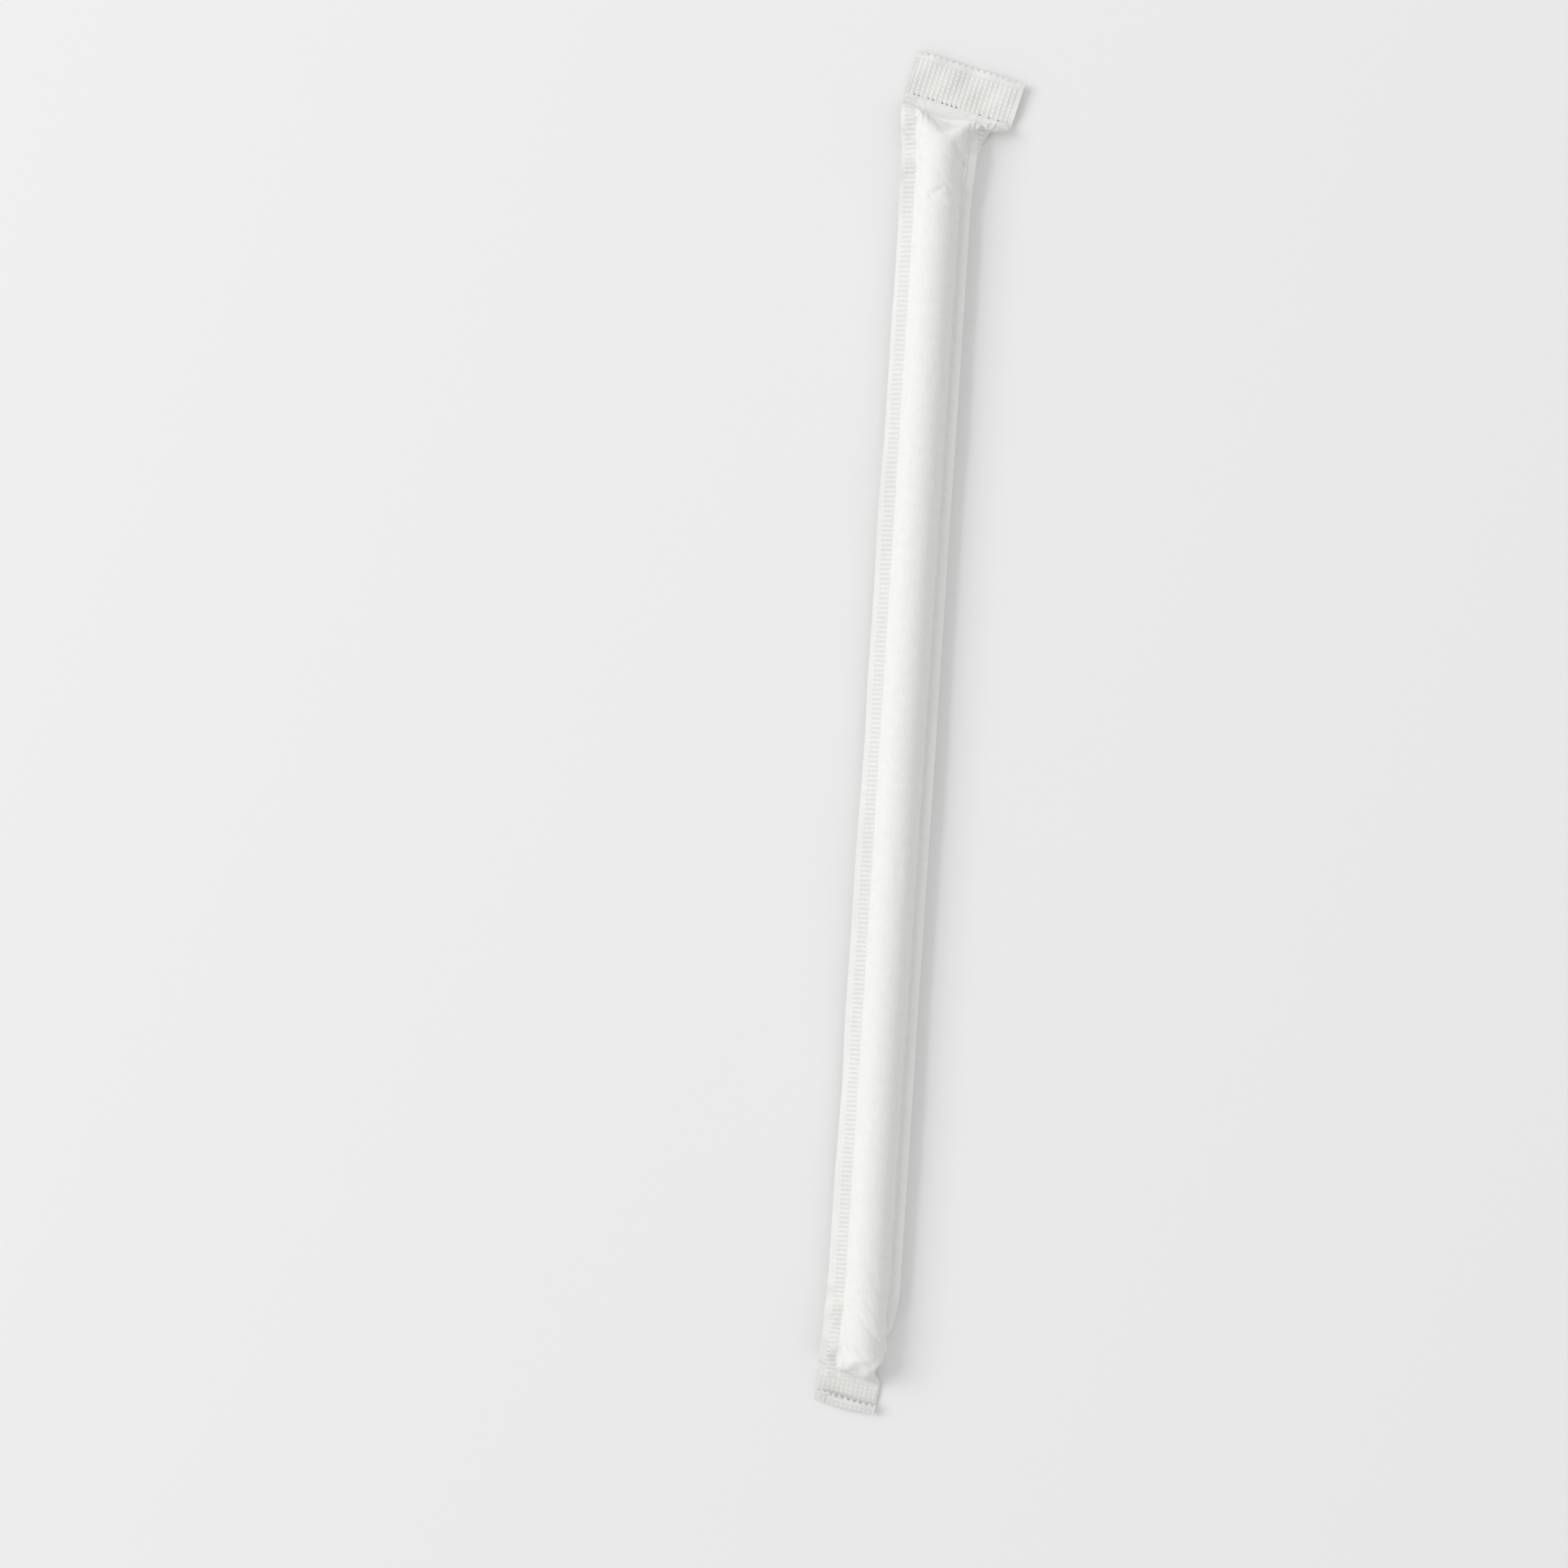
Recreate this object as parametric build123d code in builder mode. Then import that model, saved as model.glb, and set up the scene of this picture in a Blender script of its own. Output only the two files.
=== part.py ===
"""Drinking straw sealed in a paper wrapper, lying on its belly.

The straw runs along Y, and the table is the plane Z = 0. Two paper webs close round the straw, are bonded
along both sides and across both ends, and hold it as one sealed pack. All sizes are in millimetres.
"""

import math
import os

from build123d import *

# Straw inside the pack
straw_length = 197.0
straw_diameter = 6.2

# Paper sleeve round the straw
sleeve_ease = 0.2
belly_flat = 2.2
paper_pair = 0.16
slack_width = 1.7
lap = 0.15

# Side seams, a ladder of pressed rungs inside a plain margin
seam_gap = 0.2
rung_length = 1.7
rung_pitch = 0.77
rung_share = 0.7
rung_height = 0.1
seam_margin = 1.1
left_droop = 12.0
slack_droop = 15.0
table_gap = 0.12

# End seals, a waffle of pressed dots inside a margin with a toothed edge
flatten_length = 4.6
seal_rows = 8
dot_share = 0.55
seal_margin = 1.0
tooth_pitch = 1.05
tooth_depth = 0.5

# How the two tails lie: swing is sideways, pitch is upward
top_swing = 14.0
top_pitch = 4.0
bottom_swing = -8.0
bottom_slack = 0.3
tab_length = 2.7
tab_opening = 24.0
under_slope = 3.0

# Sizes that follow
sleeve_radius = straw_diameter / 2 + sleeve_ease
axis_height = math.sqrt(sleeve_radius**2 - (belly_flat / 2) ** 2)
belly_angle = math.degrees(math.asin(belly_flat / 2 / sleeve_radius))
half_length = straw_length / 2
web_width = math.pi * sleeve_radius
seam_width = seam_gap + rung_length + seam_margin
seal_length = seal_rows * rung_pitch
rim_face = Plane(origin=(0, half_length, 0), x_dir=(1, 0, 0), z_dir=(0, -1, 0))
top_height = table_gap + paper_pair
under_width = web_width - 2 * sleeve_radius + slack_width - bottom_slack + seam_width
bottom_height = top_height + under_width * math.sin(math.radians(under_slope))

# Fold line of the right seam, which slopes down to the table or hangs straight if it can't reach
fold_x = sleeve_radius + slack_width * math.cos(math.radians(slack_droop))
fold_z = axis_height - slack_width * math.sin(math.radians(slack_droop))
fold_slope = math.degrees(math.asin(min(1, (fold_z - table_gap) / seam_width)))
fold_heading = fold_slope - 180


def along(heading):
    """Unit vector in the cross-section, at this angle from +X towards +Z."""
    return Vector(math.cos(math.radians(heading)), 0, math.sin(math.radians(heading)))


def bonded_strip(root, heading, width):
    """Two bonded plies running the straw's whole length, from the root line outward."""
    run = Plane(origin=root, x_dir=(0, 1, 0), z_dir=along(heading))
    with BuildPart() as strip:
        with BuildSketch(run.offset(-lap)):
            Rectangle(straw_length, paper_pair)
        extrude(amount=width + lap)
    return strip.part


def rung_row(face, count, length):
    """Row of pressed rungs: ridges side by side along the face's x, each this long."""
    crest = paper_pair / 2 + rung_height
    start = -count * rung_pitch / 2
    outline = [(start, -paper_pair / 4), (start, 0)]
    for rung in range(count):
        middle = start + (rung + 0.5) * rung_pitch
        outline.append((middle - rung_share * rung_pitch / 2, 0))
        outline.append((middle, crest))
        outline.append((middle + rung_share * rung_pitch / 2, 0))
    outline += [(-start, 0), (-start, -paper_pair / 4)]
    with BuildPart() as row:
        with BuildSketch(face):
            with BuildLine():
                Polyline(*outline, close=True)
            make_face()
        extrude(amount=length)
    return row.part


def ply_corners(root, heading, width):
    """Corners of a bonded strip cut across, in a section plane."""
    ahead = along(heading)
    side = along(heading + 90) * (paper_pair / 2)
    near = Vector(root[0], 0, root[1]) - ahead * lap
    far = near + ahead * (width + lap)
    return [(p.X, p.Z) for p in (near + side, far + side, far - side, near - side)]


def turning_strip(near, far):
    """Bonded strip that turns between two sections, each given as face, root, heading and width."""
    with BuildPart() as strip:
        for face, root, heading, width in (near, far):
            with BuildSketch(face):
                with BuildLine():
                    Polyline(*ply_corners(root, heading, width), close=True)
                make_face()
        loft(ruled=True)
    return strip.part


def flattening_sleeve(slot_face, half_width):
    """Sleeve closing from the straw's rim to a flat slot."""
    with BuildPart() as sleeve_end:
        with BuildSketch(rim_face):
            with BuildLine():
                CenterArc((0, axis_height), sleeve_radius, 180, 90 - belly_angle)
                Line((-belly_flat / 2, 0), (belly_flat / 2, 0))
                CenterArc((0, axis_height), sleeve_radius, 270 + belly_angle, 90 - belly_angle)
                CenterArc((0, axis_height), sleeve_radius, 0, 180)
            make_face()
        with BuildSketch(slot_face):
            with BuildLine():
                Polyline(
                    (-half_width, 0),
                    (-half_width / 2, -paper_pair),
                    (half_width / 2, -paper_pair),
                    (half_width, 0),
                )
                ThreePointArc((half_width, 0), (0, paper_pair), (-half_width, 0))
            make_face()
        loft(ruled=True)
    return sleeve_end.part


def seal_plate(sheet_face, left, right, length, toothed):
    """Flat bonded plate of an end seal, its far edge plain or cut with teeth."""
    outline = [(left, -lap), (right, -lap), (right, length)]
    teeth = max(3, round((right - left) / tooth_pitch)) if toothed else 0
    for tooth in range(teeth):
        outline.append((right - (tooth + 0.5) * (right - left) / teeth, length - tooth_depth))
        outline.append((right - (tooth + 1.0) * (right - left) / teeth, length))
    if not toothed:
        outline.append((left, length))
    with BuildPart() as plate:
        with BuildSketch(sheet_face):
            with BuildLine():
                Polyline(*outline, close=True)
            make_face()
        extrude(amount=paper_pair / 2, both=True)
    return plate.part


def waffle(sheet_face, left, right, rows):
    """Waffle of pressed dots on the upper side of an end seal."""
    count = int((right - left) / rung_pitch)
    dot_rows = []
    for row in range(rows):
        reach = (row + 0.5 - dot_share / 2) * rung_pitch
        foot = sheet_face.from_local_coords(Vector((left + right) / 2, reach, 0))
        face = Plane(origin=foot, x_dir=-sheet_face.x_dir, z_dir=sheet_face.y_dir)
        dot_rows.append(rung_row(face, count, dot_share * rung_pitch))
    return dot_rows


def tail_frame(swing, height):
    """Slot where the sleeve has gone flat: its place, and the way across and outward."""
    outward = Vector(math.sin(math.radians(swing)), math.cos(math.radians(swing)), 0)
    across = Vector(outward.Y, -outward.X, 0)
    slot = Vector(0, half_length, height) + outward * flatten_length
    return slot, across, outward


# Straw and the paper drawn round it, with a small flat where the pack lies
with BuildPart() as sleeve:
    with BuildSketch(Plane.XZ):
        with Locations((0, axis_height)):
            Circle(sleeve_radius)
        with Locations((0, sleeve_radius)):
            Rectangle(4 * sleeve_radius, 2 * sleeve_radius, mode=Mode.INTERSECT)
    extrude(amount=half_length, both=True)

# Left seam, which stands out sideways
rung_count = int(straw_length / rung_pitch)
left_root = Vector(-sleeve_radius, 0, axis_height)
left_heading = 180 + left_droop
with BuildPart() as left_seam:
    add(bonded_strip(left_root, left_heading, seam_width))
    left_rungs = Plane(origin=left_root, x_dir=(0, -1, 0), z_dir=along(left_heading))
    add(rung_row(left_rungs.offset(seam_gap), rung_count, rung_length))

# Right seam, past the slack of the sleeve and folded down to the table
right_root = Vector(sleeve_radius, 0, axis_height)
fold_line = Vector(fold_x, 0, fold_z)
with BuildPart() as right_seam:
    add(bonded_strip(right_root, -slack_droop, slack_width))
    add(bonded_strip(fold_line, fold_heading, seam_width))
    right_rungs = Plane(origin=fold_line, x_dir=(0, 1, 0), z_dir=along(fold_heading))
    add(rung_row(right_rungs.offset(seam_gap), rung_count, rung_length))

# Places across the flat tail, measured from the middle of the sleeve's web
web_left = -web_width / 2
web_right = web_width / 2
slack_right = web_right + slack_width

# Where the seams and the fold leave the straw, at its rim
left_edge = (-sleeve_radius, axis_height)
right_edge = (sleeve_radius, axis_height)
fold_edge = (fold_x, fold_z)
rim_left = (rim_face, left_edge, left_heading, seam_width)
rim_slack = (rim_face, right_edge, -slack_droop, slack_width)
rim_fold = (rim_face, fold_edge, fold_heading, seam_width)

# Top tail, swung to the right and lying flat with its right seam opened out
slot, across, outward = tail_frame(top_swing, top_height)
top_slot = Plane(origin=slot, x_dir=across, z_dir=-outward)
rise = math.radians(top_pitch)
top_outward = outward * math.cos(rise) + Vector(0, 0, math.sin(rise))
top_sheet = Plane(origin=slot, x_dir=across, z_dir=across.cross(top_outward))
top_left = web_left - seam_width
top_right = slack_right + seam_width
with BuildPart() as top_tail:
    add(flattening_sleeve(top_slot, web_width / 2))
    add(
        [
            turning_strip(rim_left, (top_slot, (web_left, 0), 180, seam_width)),
            turning_strip(rim_slack, (top_slot, (web_right, 0), 0, slack_width)),
            turning_strip(rim_fold, (top_slot, (slack_right, 0), 0, seam_width)),
            seal_plate(top_sheet, top_left, top_right, seal_length + seal_margin, True),
        ]
    )
    add(waffle(top_sheet, top_left, top_right, seal_rows))

# Bottom tail, no wider than the pack because its right part is folded under, with the toothed edge
# turned up as a tab
slot, across, outward = tail_frame(bottom_swing, bottom_height)
bottom_slot = Plane(origin=slot, x_dir=across, z_dir=-outward)
bottom_sheet = Plane(origin=slot, x_dir=across, z_dir=(0, 0, 1))
flap_length = seal_length + seal_margin - tab_length
flap_rows = int(flap_length / rung_pitch)
opening = math.radians(tab_opening)
tab_outward = Vector(0, 0, math.sin(opening)) - outward * math.cos(opening)
tab_sheet = Plane(
    origin=slot + outward * flap_length, x_dir=across, z_dir=across.cross(tab_outward)
)
flap_left = -sleeve_radius - seam_width
flap_right = sleeve_radius + bottom_slack
folded_under = ((flap_right, 0), under_slope - 180, under_width)
with BuildPart() as bottom_end:
    add(flattening_sleeve(bottom_slot, sleeve_radius))
    add(
        [
            turning_strip(rim_left, (bottom_slot, (-sleeve_radius, 0), 180, seam_width)),
            turning_strip(rim_slack, (bottom_slot, (sleeve_radius, 0), 0, bottom_slack)),
            turning_strip(rim_fold, (bottom_slot, *folded_under)),
            seal_plate(bottom_sheet, flap_left, flap_right, flap_length, False),
            seal_plate(tab_sheet, flap_left, flap_right, tab_length, True),
        ]
    )
    with BuildSketch(bottom_slot):
        with BuildLine():
            Polyline(*ply_corners(*folded_under), close=True)
        make_face()
    extrude(amount=flap_length, dir=outward)
    add(waffle(bottom_sheet, flap_left, flap_right, flap_rows))

with BuildPart() as bottom_tail:
    mirror(bottom_end.part, about=Plane.XZ)

# The sealed pack in one piece
with BuildPart() as wrapped_straw:
    add([sleeve.part, left_seam.part, right_seam.part, top_tail.part, bottom_tail.part])

wrapped_straw.part.label = "wrapped_straw"

os.makedirs("parts", exist_ok=True)
export_step(wrapped_straw.part, "parts/wrapped_straw.step")
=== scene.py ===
"""Paper-wrapped drinking straw: two thin paper webs, bonded along the sides and ends, closed round a straw.

The wrapper is laid out flat, folded and settled round the straw as inextensible paper, and then pressed
with its ladder and waffle crimps. Lengths are in millimetres until the mesh is made, and angles in degrees.
On the flat paper u runs across from the left edge, and v runs along from the middle of the straw.
"""

import math

import bpy
import numpy as np
from mathutils import Matrix, Vector
from mathutils.geometry import delaunay_2d_cdt


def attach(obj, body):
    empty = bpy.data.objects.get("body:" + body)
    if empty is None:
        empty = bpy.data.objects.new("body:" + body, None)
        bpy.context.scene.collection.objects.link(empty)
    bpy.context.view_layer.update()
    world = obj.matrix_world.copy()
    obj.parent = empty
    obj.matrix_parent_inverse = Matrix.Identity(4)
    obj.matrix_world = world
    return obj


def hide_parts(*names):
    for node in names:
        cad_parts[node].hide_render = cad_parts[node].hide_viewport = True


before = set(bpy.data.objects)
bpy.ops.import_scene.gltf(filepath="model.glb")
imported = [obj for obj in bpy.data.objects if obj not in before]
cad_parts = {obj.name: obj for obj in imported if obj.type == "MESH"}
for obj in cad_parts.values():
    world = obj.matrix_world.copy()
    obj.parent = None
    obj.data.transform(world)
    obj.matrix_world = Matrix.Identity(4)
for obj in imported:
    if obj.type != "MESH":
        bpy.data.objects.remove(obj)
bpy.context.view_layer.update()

MM = 0.001
TINY = 1e-9
NEAR = 1e-6
rng = np.random.default_rng(41)

# Straw and sleeve
STRAW_LENGTH = 197.0
STRAW_RADIUS = 3.08
SLEEVE_RADIUS = 3.25
AXIS_HEIGHT = 3.11
ROOT_REACH = 3.58
RIM = STRAW_LENGTH / 2

# Flat widths across the wrapper, from its left edge to its right edge
SEAM_WIDTH = 3.2
SEAM_MARGIN = 1.3
RUNG_LENGTH = 1.7
SLACK_WIDTH = 1.7

# Share of the side margins that is left after trimming
MARGIN_TOP_SHARE = 0.45
MARGIN_LEAST_SHARE = 0.3
MARGIN_RIGHT_SHARE = 0.92

# Ways in which the side strips lie beside the straw
LEFT_DROOP = 12.0
LEFT_CURL = 2.5
SLACK_DROOP = 15.0
FOLD_HEADING = -122.0
OPENING_RUN = 9.0

# Drift along the wrapper: shares and lengths of its waves, then the seed and amount of each drift
WAVE_SHARES = (0.55, 0.3, 0.15)
WAVE_LENGTHS = (61.0, 27.0, 11.5)
DROOP_DRIFT = (3, 9.0)
SLACK_DRIFT = (5, 5.0)
FOLD_DRIFT = (7, 5.0)
LEFT_TRIM_DRIFT = (13, 0.06)
RIGHT_TRIM_DRIFT = (17, 0.07)

# Flat lengths past the straw's rim
FLATTEN_PAPER = 7.4
PRESS_PITCH = 0.77
SEAL_ROWS = 8
SEAL_LENGTH = SEAL_ROWS * PRESS_PITCH
SEAL_MARGIN = 1.0
TOOTH_PITCH = 1.05
TOOTH_DEPTH = 0.5

# Paper and its pressed relief
PLY_PAIR = 0.12
RUNG_RELIEF = 0.10
RUNG_EDGE = 0.12
WAFFLE_RELIEF = 0.11
WAFFLE_EDGE = 0.15
WAFFLE_INSET = 0.35
WAFFLE_GROUND = 0.6
BOTTOM_PRESS = 0.65
FLOOR_GAP = 0.07
TABLE_GAP = 0.01

# Pinholes in the top waffle: how many dots have one, how far from the sides and the seal's start, how wide
PINHOLE_SHARE = 0.55
PINHOLE_INSET = 3
PINHOLE_START = 0.2
PINHOLE_REACH = 0.4
PINHOLE_PULL = 0.6
PINHOLE_CENTRE = 0.01

# Line pinched up beside the straw
PINCH_HALF = 0.26
PINCH_HEIGHT = 0.28
PINCH_FADE = 3.0

# Dents in the front web: place across (share of the web), along, turn, length, half width and depth
DENTS = (
    (0.47, 89.8, 38, 1.1, 0.62, 0.30),
    (0.38, 88.9, -55, 0.9, 0.55, 0.20),
    (0.60, 61.0, 74, 3.2, 0.8, 0.07),
    (0.42, 24.0, 82, 5.0, 0.9, 0.06),
    (0.55, -18.0, 97, 4.2, 0.9, 0.07),
    (0.38, -57.0, 63, 2.4, 0.8, 0.09),
    (0.58, -84.5, 112, 2.6, 0.9, 0.13),
    (0.40, -96.6, -50, 3.0, 0.6, 0.20),
    (0.70, -102.0, 84, 2.0, 0.5, 0.24),
    (0.34, -102.4, 8, 2.2, 0.5, 0.16),
)

# How the top tail lies, open on the table with its right corner lifted
SLOT_REACH = 4.6
TOP_SWING = 14.0
TOP_PITCH = 4.0
TOP_HEIGHT = 0.5
TOP_CURL = 0.01225
TOP_CURL_FROM = 3.0
TOP_CURL_INNER = 0.3

# How the bottom tail lies, its right part folded under and its toothed edge turned up
BOTTOM_SWING = -8.0
BOTTOM_HEIGHT = 0.68
BOTTOM_ROOT = 3.3
BOTTOM_FOLD = 3.6
UNDER_TURN = 178.0
UNDER_RADIUS = 0.08
TAB_LENGTH = 2.7
TAB_TURN = 156.0
TAB_RADIUS = 0.22
TAB_SKEW = 0.05

# Waves in the seals: height, radians per millimetre across and outward, and phase
RIPPLE_RUN = 3.0
TOP_RIPPLES = ((0.22, 0.62, 0.5, 0.8), (0.1, 1.4, -0.7, 0.0))
BOTTOM_RIPPLES = ((0.14, 0.8, 0.0, 1.1),)

# Room for the strip that is folded under the bottom tail
UNDER_ROOM = 0.35
UNDER_GAP = 0.2
ROOM_START = 2.0
ROOM_RUN = 6.0
ROOM_PAST_RIM = 1.0
TUCK_FROM = 0.4
FACE_INSET = 0.8
STRIP_INSET = 0.2

# Settling of the paper
SETTLE_RUN = 12.0
HELD_RUN = 1.0
SETTLE_ROUNDS = 2500
FIRST_BENDING = 0.5
LAST_BENDING = 0.12
BEND_REACHES = (2, 5)
FOLDED_SHARE = 0.9
JITTER = 0.03

# Points of the mesh on the flat paper: columns in from the edge or the roots, and steps along
LADDER_COLUMNS = (0.0, RUNG_EDGE, 0.5, 0.85, 1.2, 1.58, RUNG_LENGTH)
MARGIN_COLUMNS = (0.36, 0.74)
BODY_COLUMNS = (0.4, 0.6, 25)
TAIL_COLUMNS = (0.28, 0.55, 35)
SLACK_COLUMN = 0.8
BODY_STEP = 0.55
TAIL_STEP = 0.29
TAIL_GAP = 0.3
SEAL_GAP = 0.1
SIDE_GAP = 0.2
CUT_TOLERANCE = 1e-5
NORMAL_STEP = 0.12
SHARP_ANGLE = 38.0

# Finish of the paper
THIN_PAPER = (0.84, 0.836, 0.815, 1)
THICK_PAPER = (0.905, 0.9, 0.885, 1)
# Greyer colour mixed into the crimps' hollows, how deep a hollow must be to get it, and how much is mixed
# in: painted shade in the hollows, partly also the greyer tone of squeezed paper
SHADED_HOLLOW_PAPER = (0.74, 0.735, 0.71, 1)
SHADED_HOLLOW_DEPTH = 0.02
SHADED_HOLLOW_SHARE = 0.5
PAPER_DENSITY = (1.1, 1.9)
PAPER_ROUGHNESS = (0.86, 0.7)
PAPER_GLOSS = 0.3
FIBRE_TURN = 0.5
FIBRE_STRETCH = 0.2

# Studio, in metres
TABLE_HALF = 6.0
TABLE_COLOUR = (0.93, 0.93, 0.93, 1)
TABLE_ROUGHNESS = 0.9
SKY_COLOUR = (1, 1, 1, 1)
SKY_STRENGTH = 0.64
KEY_POWER = 18.0
KEY_SIZE = 1.1
KEY_PLACE = (-1.5, 0.55, 1.3)

# Camera: width of the photograph and the straw's two rims in it, in pixels, and the lens
PHOTO_WIDTH = 1932
TOP_RIM_PIXEL = (1157.0, 178.0)
BOTTOM_RIM_PIXEL = (1066.0, 1693.0)
CAMERA_TIP = 7.0
LENS = 85.0
SENSOR = 36.0

# Widths and lengths that follow
tangent = math.sqrt(ROOT_REACH**2 - SLEEVE_RADIUS**2)
lean = math.acos(SLEEVE_RADIUS / ROOT_REACH)
web_width = 2 * tangent + SLEEVE_RADIUS * (math.pi - 2 * lean)
root_left = SEAM_WIDTH
root_right = root_left + web_width
fold_line = root_right + SLACK_WIDTH
flat_width = fold_line + SEAM_WIDTH
seal_start = RIM + FLATTEN_PAPER
half_paper = seal_start + SEAL_LENGTH + SEAL_MARGIN
settle_from = RIM - SETTLE_RUN
under_fold = root_left + BOTTOM_ROOT + BOTTOM_FOLD

# Lattice of the flat paper that is folded and settled
GRID = 0.34
across = np.linspace(0, flat_width, int(flat_width / GRID) + 1)
along = np.linspace(-half_paper, half_paper, int(2 * half_paper / GRID) + 1)
step_u = across[1] - across[0]
step_v = along[1] - along[0]
side_sealed = (across <= root_left + NEAR) | (across >= root_right - NEAR)
strip_columns = np.nonzero(across > root_right + STRIP_INSET)[0][None, :]
flap_columns = np.rint((2 * under_fold - across[strip_columns]) / step_u).astype(int)


def wobble(where, seed, amount):
    """Smooth random drift along the wrapper."""
    draw = np.random.default_rng(seed)
    total = np.zeros_like(where)
    for share, length in zip(WAVE_SHARES, WAVE_LENGTHS):
        total = total + share * np.sin(2 * math.pi * where / length + draw.uniform(0, 2 * math.pi))
    return amount * total


def heading(degrees):
    """Unit steps in x and z at this angle."""
    turn = np.radians(degrees)
    return np.cos(turn), np.sin(turn)


def ramp(distance, width):
    """Rises from 0 to 1 over this width."""
    return np.clip(distance / width, 0, 1)


def strip_headings(v):
    """Droop of the left seam, droop of the slack and heading of the folded strip, along the straw."""
    droop = LEFT_DROOP + wobble(v, *DROOP_DRIFT)
    slack = SLACK_DROOP + wobble(v, *SLACK_DRIFT)
    under = FOLD_HEADING + wobble(v, *FOLD_DRIFT)
    return droop, slack, under


def sleeve_section(v):
    """Front and back web round the straw at these places along it, as (2, rows, columns, 3)."""
    v = np.asarray(v, float)[:, None]
    u = across[None, :]
    droop, slack, under = strip_headings(v)
    left = np.clip(root_left - u, 0, None)
    strips = (
        (left, 180 + droop + LEFT_CURL * left),
        (np.clip(u - root_right, 0, SLACK_WIDTH), -slack),
        (np.clip(u - fold_line, 0, None), under),
    )
    run = np.clip(u - root_left, 0, web_width)
    turn = math.pi - lean - np.clip(run - tangent, 0, web_width - 2 * tangent) / SLEEVE_RADIUS
    lead = np.clip(1 - run / tangent, 0, 1)
    trail = np.clip(1 - (web_width - run) / tangent, 0, 1)
    curved = 1 - lead - trail
    webs = np.zeros((2, len(v), len(across), 3))
    for side, up in ((0, 1.0), (1, -1.0)):
        x = SLEEVE_RADIUS * np.cos(turn) * curved - ROOT_REACH * lead + ROOT_REACH * trail
        z = AXIS_HEIGHT + up * SLEEVE_RADIUS * np.sin(turn) * curved
        for reach, degrees in strips:
            dx, dz = heading(degrees)
            x = x + reach * dx
            z = z + reach * dz
        webs[side, :, :, 0] = x
        webs[side, :, :, 1] = v
        webs[side, :, :, 2] = np.maximum(z, FLOOR_GAP)
    return webs


def folded_path(reach, fold_at, turn_degrees, radius):
    """Advance, rise and slope of paper that runs straight and then folds up through this turn."""
    turn = math.radians(turn_degrees)
    bend = np.clip((reach - fold_at) / radius, 0, turn)
    past = np.clip(reach - fold_at - radius * turn, 0, None)
    advance = np.minimum(reach, fold_at) + radius * np.sin(bend) + past * math.cos(turn)
    rise = radius * (1 - np.cos(bend)) + past * math.sin(turn)
    return advance, rise, bend


def tail_axes(swing, end):
    """Where the sleeve has gone flat, and the ways across and outward there."""
    turn = math.radians(swing)
    outward = np.array((math.sin(turn), end * math.cos(turn), 0.0))
    sideways = np.array((math.cos(turn), -end * math.sin(turn), 0.0))
    slot = np.array((0.0, end * RIM, 0.0)) + SLOT_REACH * outward
    return slot, sideways, outward


def ripple(waves, reach, past):
    """Low waves in a seal, growing outward from its inner edge."""
    total = 0.0
    for height, by_reach, by_past, phase in waves:
        total = total + height * np.sin(by_reach * reach + by_past * past + phase)
    return total * ramp(past, RIPPLE_RUN)


def top_seal(past):
    """The open top seal at these distances past the flattened sleeve."""
    slot, sideways, outward = tail_axes(TOP_SWING, 1)
    reach = (across - root_left - web_width / 2)[None, :]
    past = np.asarray(past, float)[:, None]
    rise = math.tan(math.radians(TOP_PITCH)) * past
    grown = TOP_CURL_INNER + (1 - TOP_CURL_INNER) * past / SEAL_LENGTH
    curl = TOP_CURL * np.clip(reach - TOP_CURL_FROM, 0, None) ** 2 * grown
    place = slot + reach[..., None] * sideways + past[..., None] * outward
    place[..., 2] += TOP_HEIGHT + rise + curl + ripple(TOP_RIPPLES, reach, past)
    return place


def bottom_seal(past):
    """The bottom seal at these distances past the flattened sleeve."""
    slot, sideways, outward = tail_axes(BOTTOM_SWING, -1)
    reach = (across - root_left - BOTTOM_ROOT)[None, :]
    past = np.asarray(past, float)[:, None]
    side, under, _ = folded_path(reach, BOTTOM_FOLD, UNDER_TURN, UNDER_RADIUS)
    fold_at = SEAL_LENGTH + SEAL_MARGIN - TAB_LENGTH + TAB_SKEW * side
    advance, rise, bend = folded_path(past, fold_at, TAB_TURN, TAB_RADIUS)
    forward = advance + under * np.sin(bend)
    place = slot + side[..., None] * sideways + forward[..., None] * outward
    place[..., 2] += BOTTOM_HEIGHT + rise - under * np.cos(bend) + ripple(BOTTOM_RIPPLES, side, past)
    return place


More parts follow.
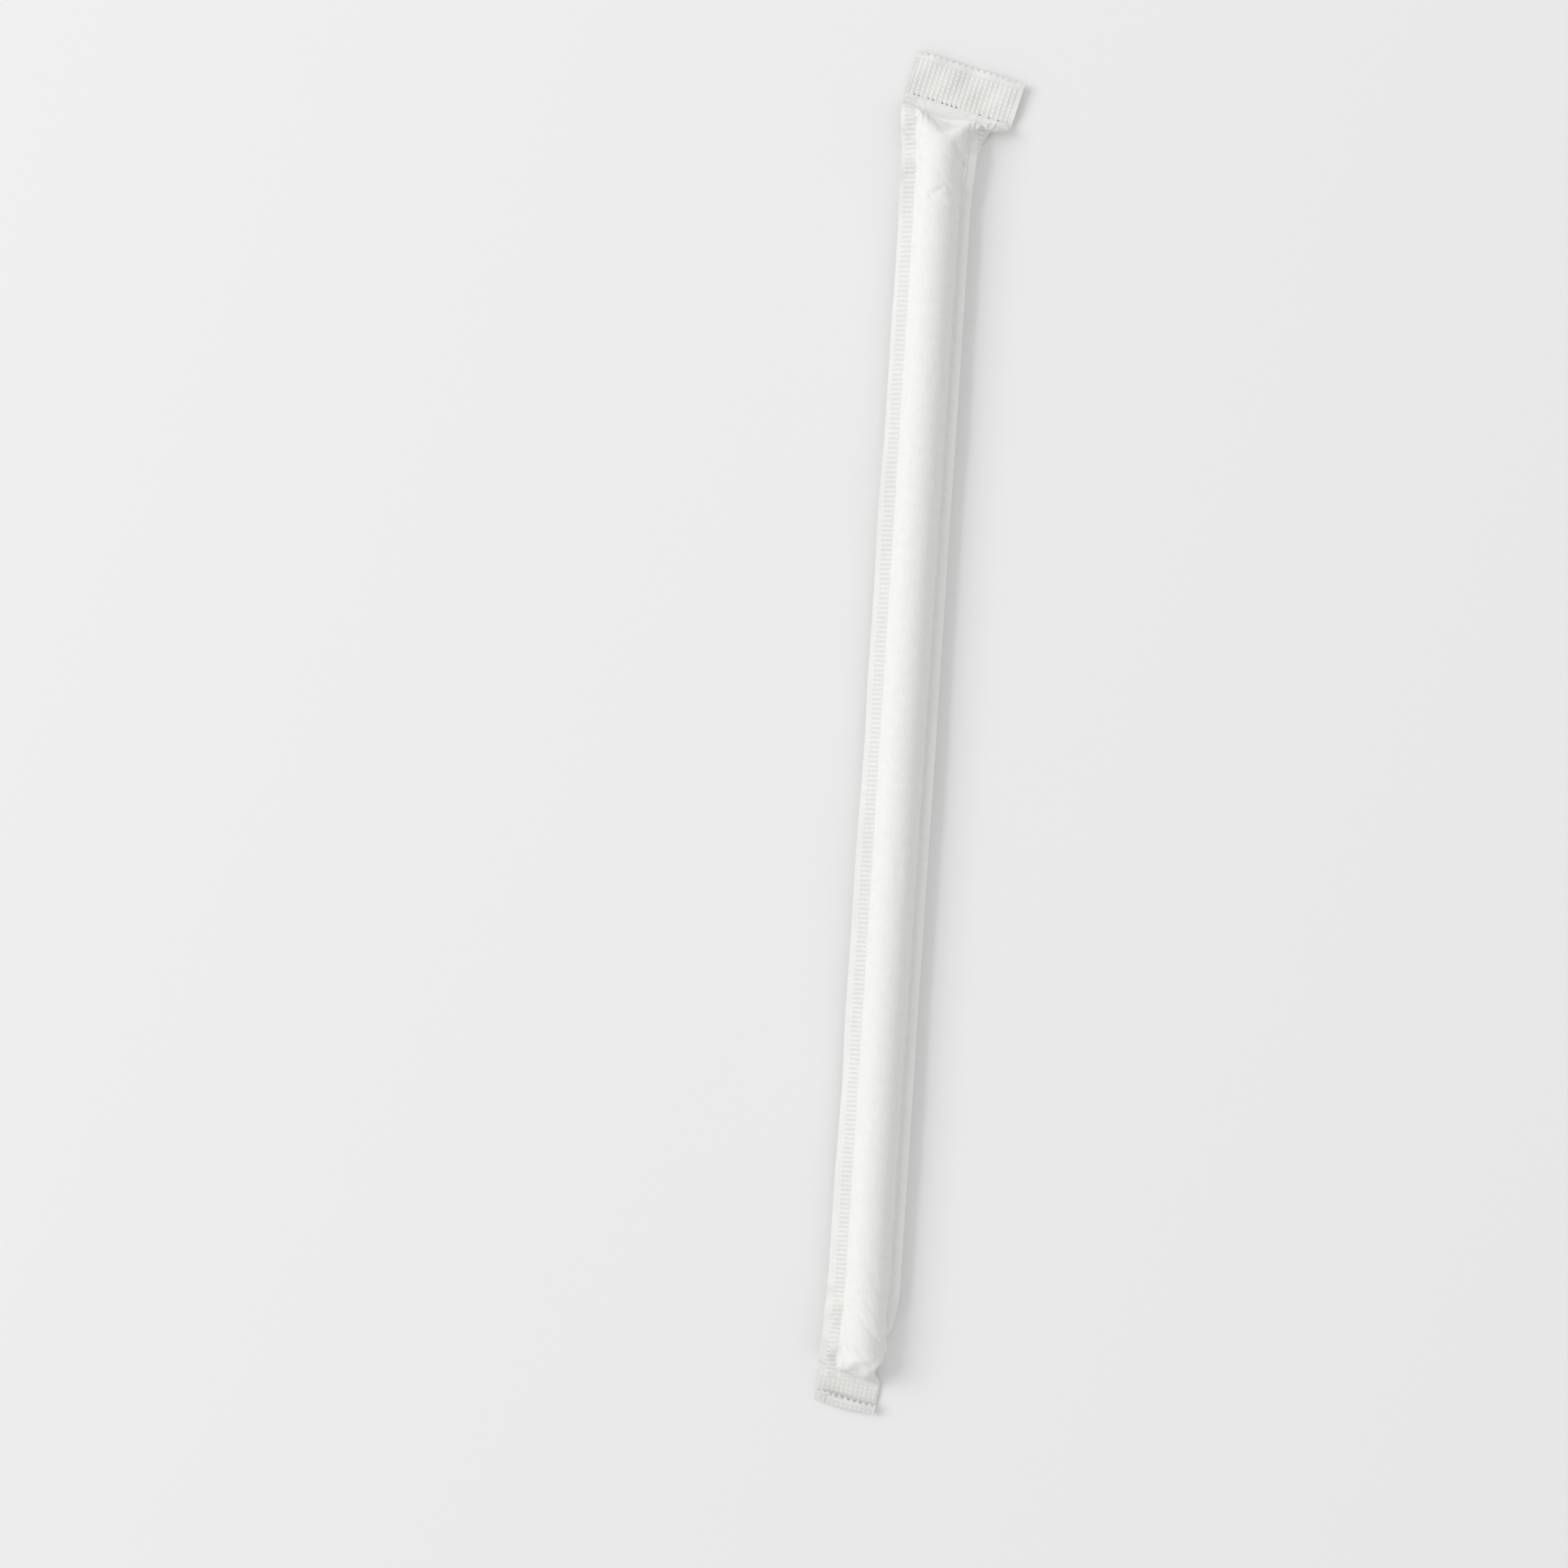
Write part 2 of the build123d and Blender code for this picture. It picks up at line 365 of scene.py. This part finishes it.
def first_tail(rows, end, slot_row, sideways, strip_end):
    """First shape of one end: the web closes and the side strips turn about their roots."""
    v = end * along[rows][:, None, None]
    closed = np.clip((v - RIM) / FLATTEN_PAPER, 0, 1)
    opened = np.clip((v - RIM + OPENING_RUN) / (OPENING_RUN + FLATTEN_PAPER), 0, 1)
    body = sleeve_section(np.clip(along[rows], -RIM, RIM))
    webs = body * (1 - closed) + slot_row * closed
    ways = (1 - closed) * np.array((1.0, 0.0, 0.0)) + closed * sideways
    upward = np.array((0.0, 0.0, 1.0))

    def root(u, x):
        at_rim = np.array((x, 0.0, AXIS_HEIGHT)) + end * np.minimum(v, RIM) * np.array((0.0, 1.0, 0.0))
        at_slot = np.array([np.interp(u, across, slot_row[:, axis]) for axis in range(3)])
        return at_rim * (1 - closed) + at_slot * closed

    def strip(start, reach, degrees):
        dx, dz = heading(degrees)
        return start + reach[None, :, None] * (dx * ways + dz * upward)

    droop, slack, under = strip_headings(end * v)
    slack_now = -slack * (1 - opened) + strip_end * opened
    leg_now = under * (1 - opened) + strip_end * opened
    left = across < root_left
    right = across > root_right
    leg = across > fold_line
    left_root = root(root_left, -ROOT_REACH)
    right_root = root(root_right, ROOT_REACH)
    fold = strip(right_root, np.array([SLACK_WIDTH]), slack_now)
    webs[:, :, left] = strip(left_root, root_left - across[left], 180 + droop * (1 - closed))
    webs[:, :, right] = strip(right_root, across[right] - root_right, slack_now)
    webs[:, :, leg] = strip(fold, across[leg] - fold_line, leg_now)
    return webs


def links(rows, columns):
    """Spans of lattice rows and columns that never share a point with the same spans moved down and right.

    Each comes with that move, and with whether it is a bending link over several steps.
    """
    made = []
    for start in (0, 1):
        made.append(((start, rows - 1, 2), (0, columns, 1), 1, 0, False))
        made.append(((start, rows - 1, 2), (0, columns - 1, 1), 1, 1, False))
        made.append(((start, rows - 1, 2), (1, columns, 1), 1, -1, False))
        made.append(((0, rows, 1), (start, columns - 1, 2), 0, 1, False))
    for reach in BEND_REACHES:
        for start in range(2 * reach):
            made.append(((start, rows - reach, 2 * reach), (0, columns, 1), reach, 0, True))
            made.append(((0, rows, 1), (start, columns - reach, 2 * reach), 0, reach, True))
    return made


def moved(span, by):
    """A span of start, stop and step as a slice, moved by this many points."""
    start, stop, step = span
    return slice(start + by, stop + by, step)


def project(a, b, free_a, free_b, rest, stiffness):
    """Moves two sets of points towards their distance on the flat paper."""
    gap = b - a
    length = np.sqrt((gap * gap).sum(-1, keepdims=True)) + TINY
    share = stiffness * (length - rest) / (length * (free_a + free_b + TINY)) * gap
    a += free_a * share
    b -= free_b * share


def clear_straw(webs, clear, movable):
    """Moves paper out of the straw: outward from its axis, or past its rim where that is nearer."""
    y = np.abs(webs[..., 1])
    dz = webs[..., 2] - AXIS_HEIGHT
    rho = np.hypot(webs[..., 0], dz) + TINY
    depth = clear - rho
    over_table = (clear == STRAW_RADIUS) | (webs[..., 2] > UNDER_GAP)
    inside = (depth > 0) & (y < RIM) & movable & over_table
    radial = inside & (depth <= RIM - y)
    axial = inside & ~radial
    grow = np.where(radial, clear / rho, 1.0)
    webs[..., 0] *= grow
    webs[..., 1] = np.where(axial, np.sign(webs[..., 1]) * RIM, webs[..., 1])
    webs[..., 2] = AXIS_HEIGHT + dz * grow


def part_plies(webs, loose, movable):
    """Keeps the front web above the back one where both are loose past the rim."""
    gap = webs[0, ..., 2] - webs[1, ..., 2]
    close = loose & movable & (np.abs(webs[0, ..., 1]) > RIM) & (gap < PLY_PAIR)
    apart = np.where(close, (PLY_PAIR - gap) / 2, 0.0)
    webs[0, ..., 2] += apart
    webs[1, ..., 2] -= apart


def tuck_strip(webs, tucked):
    """Keeps the strip on these rows below the flap that it is folded under."""
    high = webs[:, tucked, strip_columns, 2].max(0)
    over = UNDER_GAP + high - webs[1, tucked, flap_columns, 2]
    webs[:, tucked, strip_columns, 2] -= np.clip(over, 0, None)


def settle_paper(webs, held, sealed, loose, floor, clear, tucked):
    """Relaxes folded paper to its flat lengths, clear of the straw and the table."""
    movable = ~held
    free = np.tile(np.where(held, 0.0, 1.0)[None, :, :, None], (2, 1, 1, 1))
    batches = []
    for row_span, column_span, down, right, bends in links(*held.shape):
        at_a = (slice(None), moved(row_span, 0), moved(column_span, 0))
        at_b = (slice(None), moved(row_span, down), moved(column_span, right))
        rest = math.hypot(down * step_v, right * step_u)
        if bends:
            start = np.sqrt(((webs[at_b] - webs[at_a]) ** 2).sum(-1, keepdims=True))
            rest = np.where((start < FOLDED_SHARE * rest) & (right > 0), start, rest)
        batches.append((at_a, at_b, rest, bends))
    rounds = SETTLE_ROUNDS
    for turn in range(rounds):
        bending = FIRST_BENDING * (1 - turn / rounds) + LAST_BENDING
        for at_a, at_b, rest, bends in batches:
            stiffness = bending if bends else 1.0
            project(webs[at_a], webs[at_b], free[at_a], free[at_b], rest, stiffness)
        webs[:, sealed] = webs.mean(0)[sealed]
        clear_straw(webs, clear, movable)
        part_plies(webs, loose, movable)
        tuck_strip(webs, tucked)
        webs[..., 2] = np.where(movable, np.maximum(webs[..., 2], floor), webs[..., 2])
    return webs


def settled_tail(rows, end, seal, swing, strip_end, face_up, room):
    """One end of the wrapper on these lattice rows, folded and then settled."""
    v = end * along[rows]
    past = v - seal_start
    in_seal = past > -NEAR
    slot_row = seal(np.array([0.0]))[0]
    sideways = tail_axes(swing, end)[1]
    webs = first_tail(rows, end, slot_row, sideways, strip_end)
    webs[:, in_seal] = seal(past[in_seal])
    held_rows = in_seal | (v < settle_from + HELD_RUN)
    held = np.broadcast_to(held_rows[:, None], webs.shape[1:3])
    sealed = side_sealed[None, :] | in_seal[:, None]
    loose = ~sealed & (across < face_up)[None, :]
    floor = np.full(webs.shape[:3], FLOOR_GAP)
    over_strip = np.where(v[:, None] < RIM + ROOM_PAST_RIM, ~side_sealed[None, :], loose)
    floor[1] += room * ramp(v - settle_from - ROOM_START, ROOM_RUN)[:, None] * over_strip
    clear = np.where((across > root_right) & (room > 0), STRAW_RADIUS + UNDER_GAP, STRAW_RADIUS)
    near_seal = (room > 0) & (v > RIM + TUCK_FROM * FLATTEN_PAPER) & ~held_rows
    tucked = np.nonzero(near_seal)[0][:, None]
    jitter = rng.normal(0, JITTER, webs.shape)
    webs = np.where(held[None, :, :, None], webs, webs + jitter)
    return settle_paper(webs, held, sealed, loose, floor, clear, tucked)


def fold_wrapper():
    """The whole wrapper's lattice: the sleeve as drawn, both tails settled."""
    webs = sleeve_section(along)
    tails = (
        (1, top_seal, TOP_SWING, 0.0, root_right, 0.0),
        (-1, bottom_seal, BOTTOM_SWING, -UNDER_TURN, under_fold - FACE_INSET, UNDER_ROOM),
    )
    for end, *lie in tails:
        rows = np.nonzero(end * along > settle_from)[0]
        webs[:, rows] = settled_tail(rows, end, *lie)
    return webs


def sample(lattice, u, v):
    """Smooth (Catmull-Rom) reading of one web at flat places."""
    place_u = np.clip(u / step_u, 0, len(across) - 1 - NEAR)
    place_v = np.clip((v - along[0]) / step_v, 0, len(along) - 1 - NEAR)
    column = place_u.astype(int)
    row = place_v.astype(int)

    def weights(t):
        return (
            ((-0.5 * t + 1.0) * t - 0.5) * t,
            (1.5 * t - 2.5) * t * t + 1.0,
            ((-1.5 * t + 2.0) * t + 0.5) * t,
            (0.5 * t - 0.5) * t * t,
        )

    total = np.zeros((len(u), 3))
    for down, weight_v in zip((-1, 0, 1, 2), weights(place_v - row)):
        at_v = np.clip(row + down, 0, len(along) - 1)
        for right, weight_u in zip((-1, 0, 1, 2), weights(place_u - column)):
            at_u = np.clip(column + right, 0, len(across) - 1)
            total += (weight_u * weight_v)[:, None] * lattice[at_v, at_u]
    return total


def normals(lattice, u, v):
    """Unit normals of one web, upward on a web that lies flat."""
    by_u = sample(lattice, u + NORMAL_STEP, v) - sample(lattice, u - NORMAL_STEP, v)
    by_v = sample(lattice, u, v + NORMAL_STEP) - sample(lattice, u, v - NORMAL_STEP)
    normal = np.cross(by_u, by_v)
    return normal / (np.linalg.norm(normal, axis=1, keepdims=True) + TINY)


def trapezoid(phase):
    """Wave from -1 to 1 with flat tops and bottoms and steep sides."""
    return np.clip(2 - 8 * np.abs((phase % 1.0) - 0.5), -1, 1)


def pressed_relief(u, v):
    """Height of the crimps: rungs along both sides, waffle across both ends."""
    edge = np.minimum(u, flat_width - u)
    past = np.abs(v) - seal_start
    in_ladder = ramp(edge - SEAM_MARGIN, RUNG_EDGE) * ramp(SEAM_MARGIN + RUNG_LENGTH - edge, RUNG_EDGE)
    in_seal = ramp(past, WAFFLE_EDGE) * ramp(SEAL_LENGTH - past, WAFFLE_EDGE)
    in_seal = in_seal * ramp(edge - WAFFLE_INSET, WAFFLE_EDGE)
    rungs = RUNG_RELIEF * trapezoid(v / PRESS_PITCH)
    dots = 0.5 * (trapezoid(u / PRESS_PITCH) + 1) * 0.5 * (trapezoid(v / PRESS_PITCH) + 1)
    waffle = WAFFLE_RELIEF * np.where(v > 0, 1.0, BOTTOM_PRESS) * (2 * dots - WAFFLE_GROUND)
    return in_ladder * (1 - in_seal) * rungs + in_seal * waffle


def trimmed(u, v):
    """Flat places with the side margins trimmed, the left one narrower towards the top."""
    height = (v + half_paper) / (2 * half_paper)
    left_share = 1 - (1 - MARGIN_TOP_SHARE) * height + wobble(v, *LEFT_TRIM_DRIFT)
    right_share = MARGIN_RIGHT_SHARE + wobble(v, *RIGHT_TRIM_DRIFT)
    edge = flat_width - u
    left = SEAM_MARGIN - (SEAM_MARGIN - u) * np.clip(left_share, MARGIN_LEAST_SHARE, 1)
    right = flat_width - SEAM_MARGIN + (SEAM_MARGIN - edge) * right_share
    return np.where(u < SEAM_MARGIN, left, np.where(edge < SEAM_MARGIN, right, u))


def handling_marks(u, v):
    """Depth of the small dents in the front web, and the height of the line pinched up beside the straw."""
    total = np.zeros_like(u)
    for at_u, at_v, turn, length, width, depth in DENTS:
        du = u - root_left - at_u * web_width
        dv = v - at_v
        cosine = math.cos(math.radians(turn))
        sine = math.sin(math.radians(turn))
        run = du * cosine + dv * sine
        off = dv * cosine - du * sine
        total -= depth * np.exp(-((run / length) ** 2)) * np.clip(1 - np.abs(off) / width, 0, 1)
    pinch = np.clip(1 - np.abs(u - root_right) / PINCH_HALF, 0, 1) * ramp(RIM - np.abs(v), PINCH_FADE)
    return total + PINCH_HEIGHT * pinch


def grid_points(u_list, v_list):
    """Every crossing of these columns and rows, one a line."""
    u, v = np.meshgrid(u_list, v_list)
    return np.column_stack((u.ravel(), v.ravel()))


def both_sides(columns):
    """Columns in from the left edge, and as many in from the right edge."""
    columns = np.array(columns)
    return np.concatenate((columns, flat_width - columns))


def web_columns(left_gap, right_gap, count):
    """Columns over the web, its creases and the slack."""
    web = np.linspace(root_left + left_gap, root_right - right_gap, count)
    creases = (root_left, root_right - PINCH_HALF, root_right, root_right + PINCH_HALF, fold_line)
    return np.concatenate((web, creases, [root_right + SLACK_COLUMN]))


def toothed_outline():
    """Points round the flat wrapper, both of its ends cut in teeth."""
    corners = 2 * round(flat_width / TOOTH_PITCH) + 1
    tooth_u = np.linspace(0, flat_width, corners)
    tooth_v = half_paper - TOOTH_DEPTH * (np.arange(corners) % 2)
    side_v = np.arange(-half_paper + 2 * SIDE_GAP, half_paper - SIDE_GAP, PRESS_PITCH / 2)
    bottom = np.column_stack((tooth_u, -tooth_v))
    right = np.column_stack((np.full_like(side_v, flat_width), side_v))
    top = np.column_stack((tooth_u, tooth_v))
    left = np.column_stack((np.zeros_like(side_v), side_v))
    return np.vstack((bottom, right, top[::-1], left[::-1]))


def inner_points():
    """Points inside the outline, as dense as the crimps and the folds need."""
    quarter = PRESS_PITCH / 4
    reach = math.floor(seal_start / quarter)
    ladder_v = np.arange(-reach, reach + 1) * quarter
    body_v = np.arange(-settle_from, settle_from, BODY_STEP)
    tail_v = np.arange(settle_from + TAIL_GAP, seal_start - SEAL_GAP, TAIL_STEP)
    first = math.ceil((seal_start + SEAL_GAP / 2) / quarter)
    last = math.floor((half_paper - TOOTH_DEPTH - SEAL_GAP) / quarter)
    seal_v = np.arange(first, last + 1) * quarter
    seal_u = np.arange(1, math.floor(flat_width / quarter)) * quarter
    sets = [
        grid_points(both_sides(SEAM_MARGIN + np.array(LADDER_COLUMNS)), ladder_v),
        grid_points(both_sides(MARGIN_COLUMNS), ladder_v[::2]),
        grid_points(web_columns(*BODY_COLUMNS), body_v),
    ]
    for end in (1, -1):
        sets.append(grid_points(web_columns(*TAIL_COLUMNS), end * tail_v))
        sets.append(grid_points(seal_u, end * seal_v))
    return np.vstack(sets)


def flat_cut():
    """The wrapper cut out flat, as its points and triangles."""
    outline = toothed_outline()
    points = np.vstack((outline, inner_points()))
    count = len(outline)
    edges = [(i, (i + 1) % count) for i in range(count)]
    verts, _, faces, *_ = delaunay_2d_cdt([Vector(p) for p in points], edges, [], 1, CUT_TOLERANCE)
    return np.array([tuple(p) for p in verts]), [tuple(f) for f in faces]


def pierced(flat, faces):
    """The cut paper without the small faces at its pinholes, which the press leaves in the top waffle."""
    row = math.ceil((seal_start + PINHOLE_START) / PRESS_PITCH) * PRESS_PITCH
    dots = int(flat_width / PRESS_PITCH)
    gone = set()
    for column in range(PINHOLE_INSET, dots - PINHOLE_INSET + 1):
        if rng.random() >= PINHOLE_SHARE:
            continue
        place = np.array((column * PRESS_PITCH, row))
        away = np.linalg.norm(flat - place, axis=1)
        gone.add(int(np.argmin(away)))
        near = (away < PINHOLE_REACH * PRESS_PITCH) & (away > PINHOLE_CENTRE)
        flat[near] = place + (flat[near] - place) * PINHOLE_PULL
    kept = [i for i in range(len(flat)) if i not in gone]
    number = {old: new for new, old in enumerate(kept)}
    return flat[kept], [tuple(number[i] for i in face) for face in faces if not gone.intersection(face)]


def border_edges(faces):
    """Directed edges that only one face uses."""
    used = dict.fromkeys(edge for face in faces for edge in zip(face, face[1:] + face[:1]))
    return [(a, b) for a, b in used if (b, a) not in used]


def make_wrapper():
    """Closed mesh of the folded wrapper: front web, back web and the cut edge between them."""
    webs = fold_wrapper()
    flat, faces = pierced(*flat_cut())
    u, v = flat.T
    relief = pressed_relief(u, v)
    front_lift = PLY_PAIR / 2 + relief + handling_marks(u, v)
    back_lift = relief - PLY_PAIR / 2
    place = (trimmed(u, v), v)
    shells = []
    for web, lift in zip(webs, (front_lift, back_lift)):
        shells.append(sample(web, *place) + normals(web, *place) * lift[:, None])
    points = np.vstack(shells)
    points[:, 2] = np.maximum(points[:, 2], TABLE_GAP)
    count = len(flat)
    back = [tuple(i + count for i in reversed(face)) for face in faces]
    cut_edge = [(b, a, a + count, b + count) for a, b in border_edges(faces)]
    mesh = bpy.data.meshes.new("paper_wrapper")
    mesh.from_pydata((points * MM).tolist(), [], faces + back + cut_edge)
    mesh.validate()
    # Marks the crimps' hollows on both outer faces for the painted shade there, partly also the greyer tone
    # of squeezed paper
    shaded_hollows = np.concatenate((relief < -SHADED_HOLLOW_DEPTH, relief > SHADED_HOLLOW_DEPTH))
    hollow_shade = (shaded_hollows * SHADED_HOLLOW_SHARE).astype(np.float32)
    mesh.attributes.new("hollow_shade", "FLOAT", "POINT").data.foreach_set("value", hollow_shade)
    mesh.shade_smooth()
    mesh.set_sharp_from_angle(angle=math.radians(SHARP_ANGLE))
    wrapper = bpy.data.objects.new("paper_wrapper", mesh)
    bpy.context.scene.collection.objects.link(wrapper)
    return wrapper


def wrapper_paper():
    """Thin matt white paper with faint fibres; the crimps' hollows are painted greyer, partly painted shade
    and partly the tone of squeezed paper.
    """
    material = bpy.data.materials.new("wrapper_paper")
    material.use_nodes = True
    nodes = material.node_tree.nodes
    wires = material.node_tree.links
    shader = nodes["Principled BSDF"]

    def node(kind, **sockets):
        made = nodes.new(kind)
        for name, value in sockets.items():
            made.inputs[name].default_value = value
        return made

    def added(first, second):
        made = nodes.new("ShaderNodeMath")
        made.operation = "ADD"
        wires.new(first, made.inputs[0])
        wires.new(second, made.inputs[1])
        return made.outputs["Value"]

    def mapped(value, before, after):
        made = nodes.new("ShaderNodeMapRange")
        made.inputs["From Min"].default_value, made.inputs["From Max"].default_value = before
        made.inputs["To Min"].default_value, made.inputs["To Max"].default_value = after
        wires.new(value, made.inputs["Value"])
        return made.outputs["Result"]

    def mixed(factor, colour):
        made = nodes.new("ShaderNodeMix")
        made.data_type = "RGBA"
        made.inputs["B"].default_value = colour
        wires.new(factor, made.inputs["Factor"])
        return made

    place = nodes.new("ShaderNodeTexCoord").outputs["Object"]
    cloud = node("ShaderNodeTexNoise", Scale=650.0, Detail=3.0, Roughness=0.6)
    grain = node("ShaderNodeTexNoise", Scale=3600.0, Detail=2.0, Roughness=0.6)
    along_fibre = node("ShaderNodeMapping", Rotation=(0, 0, FIBRE_TURN), Scale=(1.0, FIBRE_STRETCH, 1.0))
    fibre = node("ShaderNodeTexNoise", Scale=2600.0, Detail=4.0, Roughness=0.55, Distortion=0.8)
    for texture in (cloud, grain, along_fibre):
        wires.new(place, texture.inputs["Vector"])
    wires.new(along_fibre.outputs["Vector"], fibre.inputs["Vector"])
    surface = added(grain.outputs["Fac"], fibre.outputs["Fac"])
    density = mapped(added(surface, cloud.outputs["Fac"]), PAPER_DENSITY, (0.0, 1.0))

    paper = mixed(density, THICK_PAPER)
    paper.inputs["A"].default_value = THIN_PAPER
    # Painted shade: the crimps' hollows mixed towards a greyer colour, partly also the tone of squeezed
    # paper
    hollow_shade = nodes.new("ShaderNodeAttribute")
    hollow_shade.attribute_name = "hollow_shade"
    hollow_shaded = mixed(hollow_shade.outputs["Fac"], SHADED_HOLLOW_PAPER)
    wires.new(paper.outputs["Result"], hollow_shaded.inputs["A"])
    wires.new(hollow_shaded.outputs["Result"], shader.inputs["Base Color"])

    wires.new(mapped(density, (0.0, 1.0), PAPER_ROUGHNESS), shader.inputs["Roughness"])
    bump = node("ShaderNodeBump", Strength=0.28, Distance=0.00005)
    wires.new(surface, bump.inputs["Height"])
    wires.new(bump.outputs["Normal"], shader.inputs["Normal"])
    shader.inputs["Specular IOR Level"].default_value = PAPER_GLOSS
    return material


def pale_table():
    """Plain matt table top that the pack lies on."""
    mesh = bpy.data.meshes.new("table")
    corners = [(x * TABLE_HALF, y * TABLE_HALF, 0) for x, y in ((-1, -1), (1, -1), (1, 1), (-1, 1))]
    mesh.from_pydata(corners, [], [(0, 1, 2, 3)])
    table = bpy.data.objects.new("table", mesh)
    bpy.context.scene.collection.objects.link(table)
    material = bpy.data.materials.new("pale_table")
    material.use_nodes = True
    shader = material.node_tree.nodes["Principled BSDF"]
    shader.inputs["Base Color"].default_value = TABLE_COLOUR
    shader.inputs["Roughness"].default_value = TABLE_ROUGHNESS
    mesh.materials.append(material)


def soft_light():
    """Even white surroundings, and a soft lamp on the left above the table."""
    world = bpy.data.worlds.new("studio")
    world.use_nodes = True
    background = world.node_tree.nodes["Background"]
    background.inputs["Color"].default_value = SKY_COLOUR
    background.inputs["Strength"].default_value = SKY_STRENGTH
    bpy.context.scene.world = world
    lamp = bpy.data.lights.new("key", "AREA")
    lamp.energy = KEY_POWER
    lamp.size = KEY_SIZE
    key = bpy.data.objects.new("key", lamp)
    bpy.context.scene.collection.objects.link(key)
    key.location = KEY_PLACE
    key.rotation_euler = (-key.location).to_track_quat("-Z", "Y").to_euler()


def camera():
    """Looks down on the pack, placed and leaning in the frame as in the photograph."""
    span = np.subtract(TOP_RIM_PIXEL, BOTTOM_RIM_PIXEL)
    middle = np.add(TOP_RIM_PIXEL, BOTTOM_RIM_PIXEL) / 2 - PHOTO_WIDTH / 2
    scale = STRAW_LENGTH / np.hypot(*span)
    turn = math.atan2(span[0], -span[1])
    right = np.array((math.cos(turn), math.sin(turn), 0.0))
    up = np.array((-math.sin(turn), math.cos(turn), 0.0))
    aim = (-middle[0] * right + middle[1] * up) * scale
    aim[2] = AXIS_HEIGHT
    tip = math.radians(CAMERA_TIP)
    back = math.cos(tip) * np.array((0, 0, 1.0)) + math.sin(tip) * up
    distance = PHOTO_WIDTH * scale * LENS / SENSOR
    data = bpy.data.cameras.new("camera")
    data.lens = LENS
    data.sensor_width = SENSOR
    made = bpy.data.objects.new("camera", data)
    bpy.context.scene.collection.objects.link(made)
    x_axis = Vector(right)
    z_axis = Vector(back)
    y_axis = z_axis.cross(x_axis)
    place = Vector((aim + distance * back) * MM)
    turned = Matrix((x_axis, y_axis, z_axis)).transposed().to_4x4()
    made.matrix_world = Matrix.Translation(place) @ turned
    bpy.context.scene.camera = made


wrapper = make_wrapper()
wrapper.data.materials.append(wrapper_paper())
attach(wrapper, "root")
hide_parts("wrapped_straw")
pale_table()
soft_light()
camera()
bpy.context.scene.view_settings.view_transform = "Standard"
